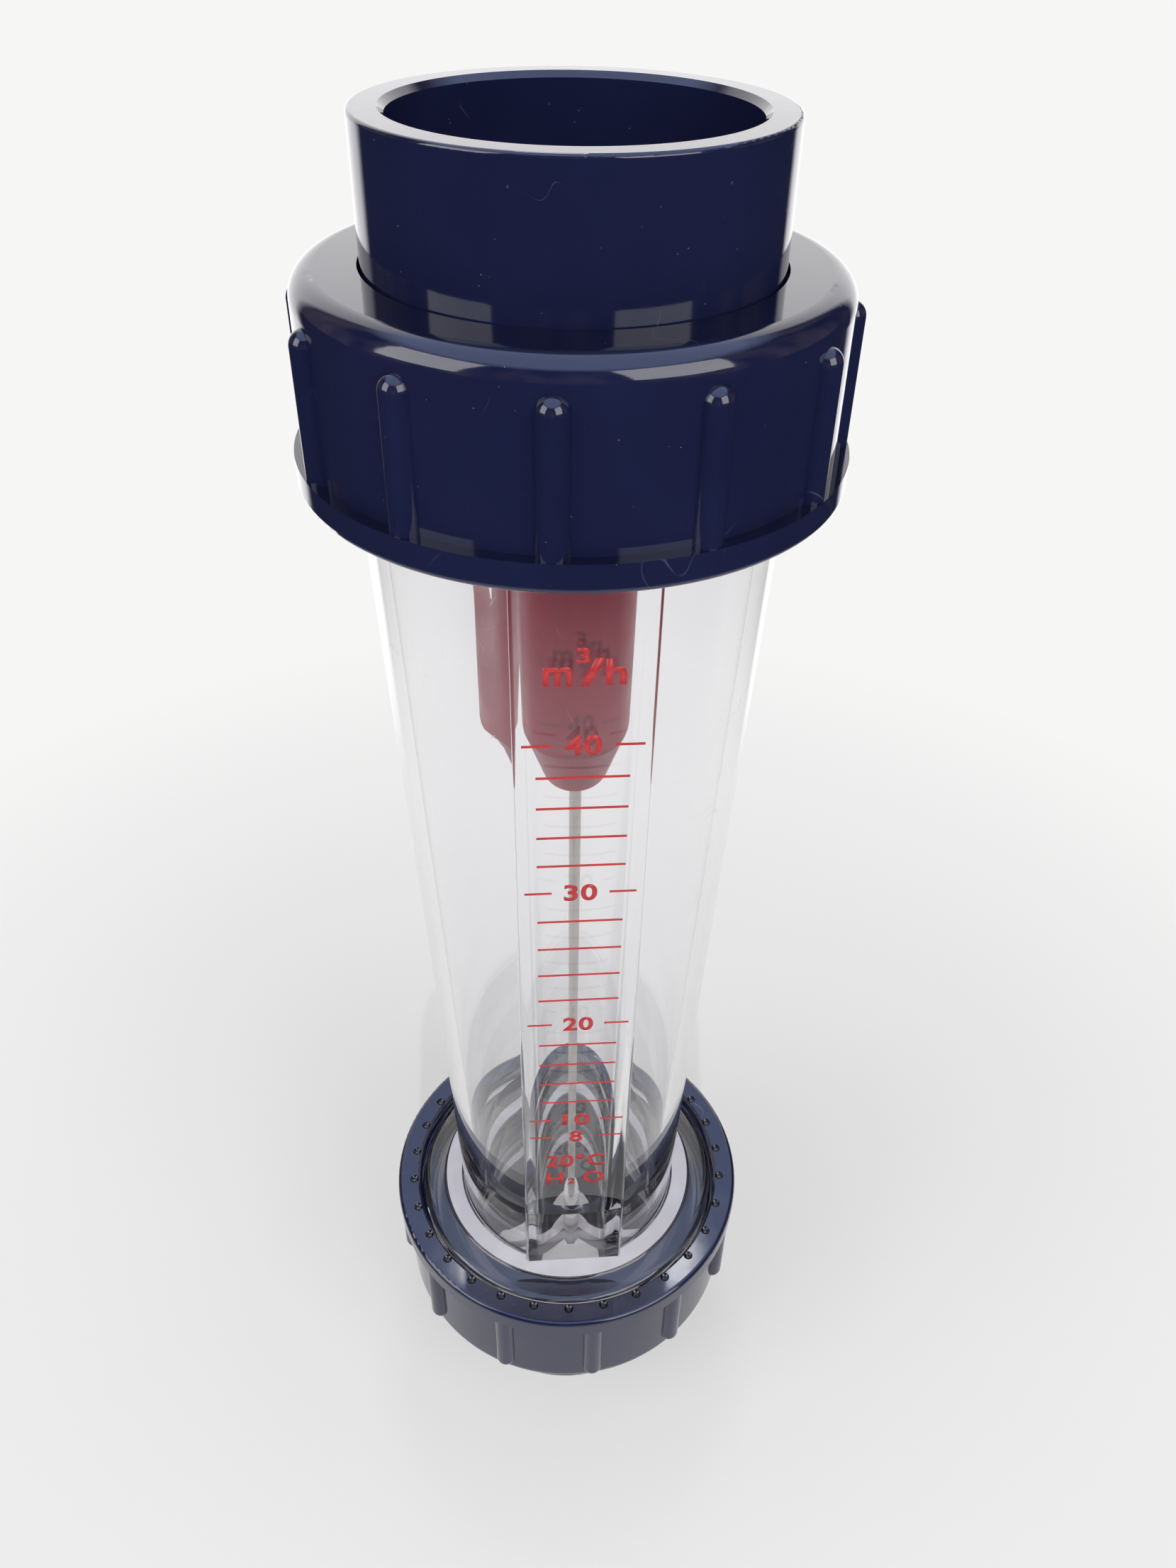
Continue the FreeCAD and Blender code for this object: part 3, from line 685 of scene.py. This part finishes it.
def ink_text(name, characters, z, height, width, material, across=0.0):
    """Printed characters of a given height and overall width, centred on a place of the land."""
    mesh = text_mesh(name, characters)
    low = Vector([min(v.co[i] for v in mesh.vertices) for i in range(3)])
    high = Vector([max(v.co[i] for v in mesh.vertices) for i in range(3)])
    size = high - low
    fit = Matrix.Diagonal((width / size.x, height / size.y, 1, 1))
    centred = Matrix.Translation(-(high + low) / 2)
    mesh.transform(Matrix.Translation((across, 0, 0)) @ fit @ centred)
    mesh.materials.clear()
    mesh.materials.append(material)
    for face in mesh.polygons:
        face.material_index = 0
    text = bpy.data.objects.new(name, mesh)
    thicken = text.modifiers.new("thickness", "SOLIDIFY")
    thicken.thickness = INK_DEPTH
    thicken.offset = -1
    lay_on_land(text, z)


def mark_height(value):
    """Where a value stands on the scale, evenly divided between the numbered marks."""
    named = sorted(MARK_HEIGHTS)
    for low, high in zip(named, named[1:]):
        if low <= value <= high:
            share = (value - low) / (high - low)
            return MARK_HEIGHTS[low] + share * (MARK_HEIGHTS[high] - MARK_HEIGHTS[low])
    raise ValueError("%s is off the scale" % value)


def printed_scale(material):
    """Flow marks and numbers, the unit above them and the liquid below."""
    dashes = [(-DASH_OUTER, -DASH_INNER), (DASH_INNER, DASH_OUTER)]
    for value in range(min(MARK_HEIGHTS), max(MARK_HEIGHTS) + 1, MARK_STEP):
        z = mark_height(value)
        if value in MARK_HEIGHTS:
            ink_bars("mark_%d" % value, z, dashes, material)
            width = TWO_DIGIT_WIDTH if value > 9 else ONE_DIGIT_WIDTH
            ink_text("number_%d" % value, str(value), z, DIGIT_HEIGHT, width, material)
        else:
            ink_bars("mark_%d" % value, z, [(-MARK_HALF, MARK_HALF)], material)
    for name, characters, mark, rise, across, height, width in LETTERING:
        ink_text(name, characters, mark_height(mark) + rise * MM, height * MM, width * MM,
                 material, across * MM)


# ---- studio ----------------------------------------------------------------------------------

WHITE = (0.925, 0.922, 0.918)
PAPER = ((0.86, 0.85, 0.835), (0.89, 0.88, 0.87))
BACKDROP = (1.75, 1.72, 1.74)
CEILING = (1.15, 1.4, 2.2)
FURNITURE = ((0.012, 0.012, 0.022), (0.34, 0.25, 0.22))
ROOM_DARK = (0.02, 0.02, 0.028)
ROOM_THROUGH = (0.16, 0.16, 0.19)
FILL = (0.98, 0.98, 1.0)
FILL_STRENGTH = 0.30

FLOOR_REACH = 9.0
SHADOW_REACH = (0.12, 0.5)  # from the axis: the floor's glow grows to the full over this stretch
SHADOW_GLOW = 0.4  # its share at the near end
NEAR_FLOOR = (0.35, 0.6)  # from the axis: inside this, gloss and glass see a white floor
# bearings: below the first value the first look holds, above the second the other
BACKDROP_BEARING = (0.7, 0.78)
THROUGH_BEARING = (-0.3, 0.1)
CEILING_RISE = (0.66, 0.8)

LIGHT_HEIGHT = BASE + 0.38
LAMPS = [
    # name, turn from the front and rise in degrees, distance, size, radiance, rays that miss it
    ("left_light", -65, 17, 1.2, (0.78, 1.2), 2.1, ["glossy"]),
    ("right_light", 38, 17, 1.2, (0.87, 1.2), 2.1, ["glossy"]),
    ("front_light", -2, 19, 1.5, (0.03, 0.03), 2900.0, ["glossy"]),
    ("left_panel", -65, 26, 1.2, (0.78, 0.8), 4.2, ["diffuse"]),
    ("right_panel", 38, 26, 1.2, (0.87, 0.8), 4.2, ["diffuse"]),
    ("back_light", 175, 53, 1.2, (0.35, 0.12), 12.0, []),
]


def floor_material():
    """White paper that takes the object's shadow, and more and more a glow further out.

    The eye sees the glow white. Gloss sees it dark in front and bright behind, and glass sees it
    dim in front, except close by."""
    n = material_nodes("floor")
    paper = n.principled(Base_Color=n.mix(n.uneven(3, 0, 1, 3), *PAPER), Roughness=0.7)
    reach = n.axis_distance()
    bearing = n.bearing()
    eye = n.ray("Is Camera Ray")
    glossy = n.ray("Is Glossy Ray")
    mirrored = n.maths("SUBTRACT", glossy, n.ray("Is Transmission Ray"))
    reflected = n.mix(n.remap(bearing, *BACKDROP_BEARING), ROOM_DARK, BACKDROP)
    through = n.mix(n.remap(bearing, *THROUGH_BEARING), ROOM_THROUGH, WHITE)
    far = n.mix(mirrored, through, reflected)
    around = n.mix(n.remap(reach, *NEAR_FLOOR, 1, 0), far, WHITE)
    glow = n.shining("ShaderNodeEmission", n.mix(eye, around, WHITE))
    share = n.remap(reach, *SHADOW_REACH, SHADOW_GLOW, 1)
    seen = n.maths("MAXIMUM", eye, glossy)
    return n.finish(n.mix_shaders(n.maths("MULTIPLY", seen, share), paper, glow))


def add_floor():
    mesh = bpy.data.meshes.new("floor")
    corners = [(x * FLOOR_REACH, y * FLOOR_REACH, BASE)
               for x, y in ((-1, -1), (1, -1), (1, 1), (-1, 1))]
    mesh.from_pydata(corners, [], [(0, 1, 2, 3)])
    mesh.materials.append(floor_material())
    floor = bpy.data.objects.new("floor", mesh)
    bpy.context.scene.collection.objects.link(floor)


def add_lamp(name, turn, rise, distance, size, radiance, missed_by):
    """A rectangular lamp seen from the object at a turn from the front (-Y) and a rise."""
    data = bpy.data.lights.new(name, "AREA")
    data.shape = "RECTANGLE"
    data.size, data.size_y = size
    data.energy = radiance * math.pi * size[0] * size[1]
    turn, rise = math.radians(turn), math.radians(rise)
    away = Vector((math.sin(turn) * math.cos(rise), -math.cos(turn) * math.cos(rise),
                   math.sin(rise)))
    item = bpy.data.objects.new(name, data)
    item.location = Vector((0, 0, LIGHT_HEIGHT)) + away * distance
    item.rotation_euler = (-away).to_track_quat("-Z", "Y").to_euler()
    for rays in ["camera", "transmission"] + missed_by:
        setattr(item, "visible_" + rays, False)
    bpy.context.scene.collection.objects.link(item)


def surroundings():
    """White to the eye and an even dim fill; in gloss a room that is darker in front, and through
    glass a view that is dim in front."""
    n = Nodes(bpy.data.worlds.new("surroundings"), "ShaderNodeOutputWorld", "Generated")
    streaks = n.noise(3.5, 5.0, 0.5, (1, 1, 0.06))
    furniture = n.mix(n.remap(streaks, 0.42, 0.66), *FURNITURE)
    low_room = n.mix(n.remap(n.bearing(), *BACKDROP_BEARING), furniture, BACKDROP)
    room = n.mix(n.remap(n.along("Z", n.place), *CEILING_RISE), low_room, CEILING)
    outlook = n.mix(n.remap(n.along("Y", n.place), *THROUGH_BEARING), ROOM_THROUGH, WHITE)
    fill = n.shining("ShaderNodeBackground", FILL, FILL_STRENGTH)
    mirrored = n.shining("ShaderNodeBackground", room)
    beyond = n.shining("ShaderNodeBackground", outlook)
    seen = n.shining("ShaderNodeBackground", WHITE)
    in_gloss = n.mix_shaders(n.ray("Is Glossy Ray"), fill, mirrored)
    in_glass = n.mix_shaders(n.ray("Is Transmission Ray"), in_gloss, beyond)
    bpy.context.scene.world = n.finish(n.mix_shaders(n.ray("Is Camera Ray"), in_glass, seen))


# ---- put together ----------------------------------------------------------------------------

def paint_cad_nodes(materials):
    """Gives each CAD node the finish of its material slot."""
    for part in frame["record"]["subparts"]:
        node = frame["nodes"][part["node"]]
        node.data.materials.clear()
        node.data.materials.append(materials[part["material_slot"]])


MATERIALS = {
    "clear_plastic": clear_plastic(),
    "navy_plastic": navy_plastic(),
    "red_plastic": red_plastic(),
    "rod_steel": steel("rod_steel"),
    "ballast_steel": steel("ballast_steel"),
    "guide_plastic": guide_plastic(),
    "bush_plastic": plain_plastic("bush_plastic", BUSH_PALE, 0.35, 0.5),
    "seal_rubber": plain_plastic("seal_rubber", RUBBER, 0.5, 0.7),
}

bpy.context.scene.view_settings.view_transform = "Standard"
add_camera()
paint_cad_nodes(MATERIALS)
clear_tube(MATERIALS["clear_plastic"], matt_plastic())
nut_thread("bottom_nut_thread", False, "bottom_nut", MATERIALS["navy_plastic"])
nut_thread("top_nut_thread", True, "top_nut", MATERIALS["navy_plastic"])
printed_scale(scale_ink())
add_floor()
surroundings()
for row in LAMPS:
    add_lamp(*row)
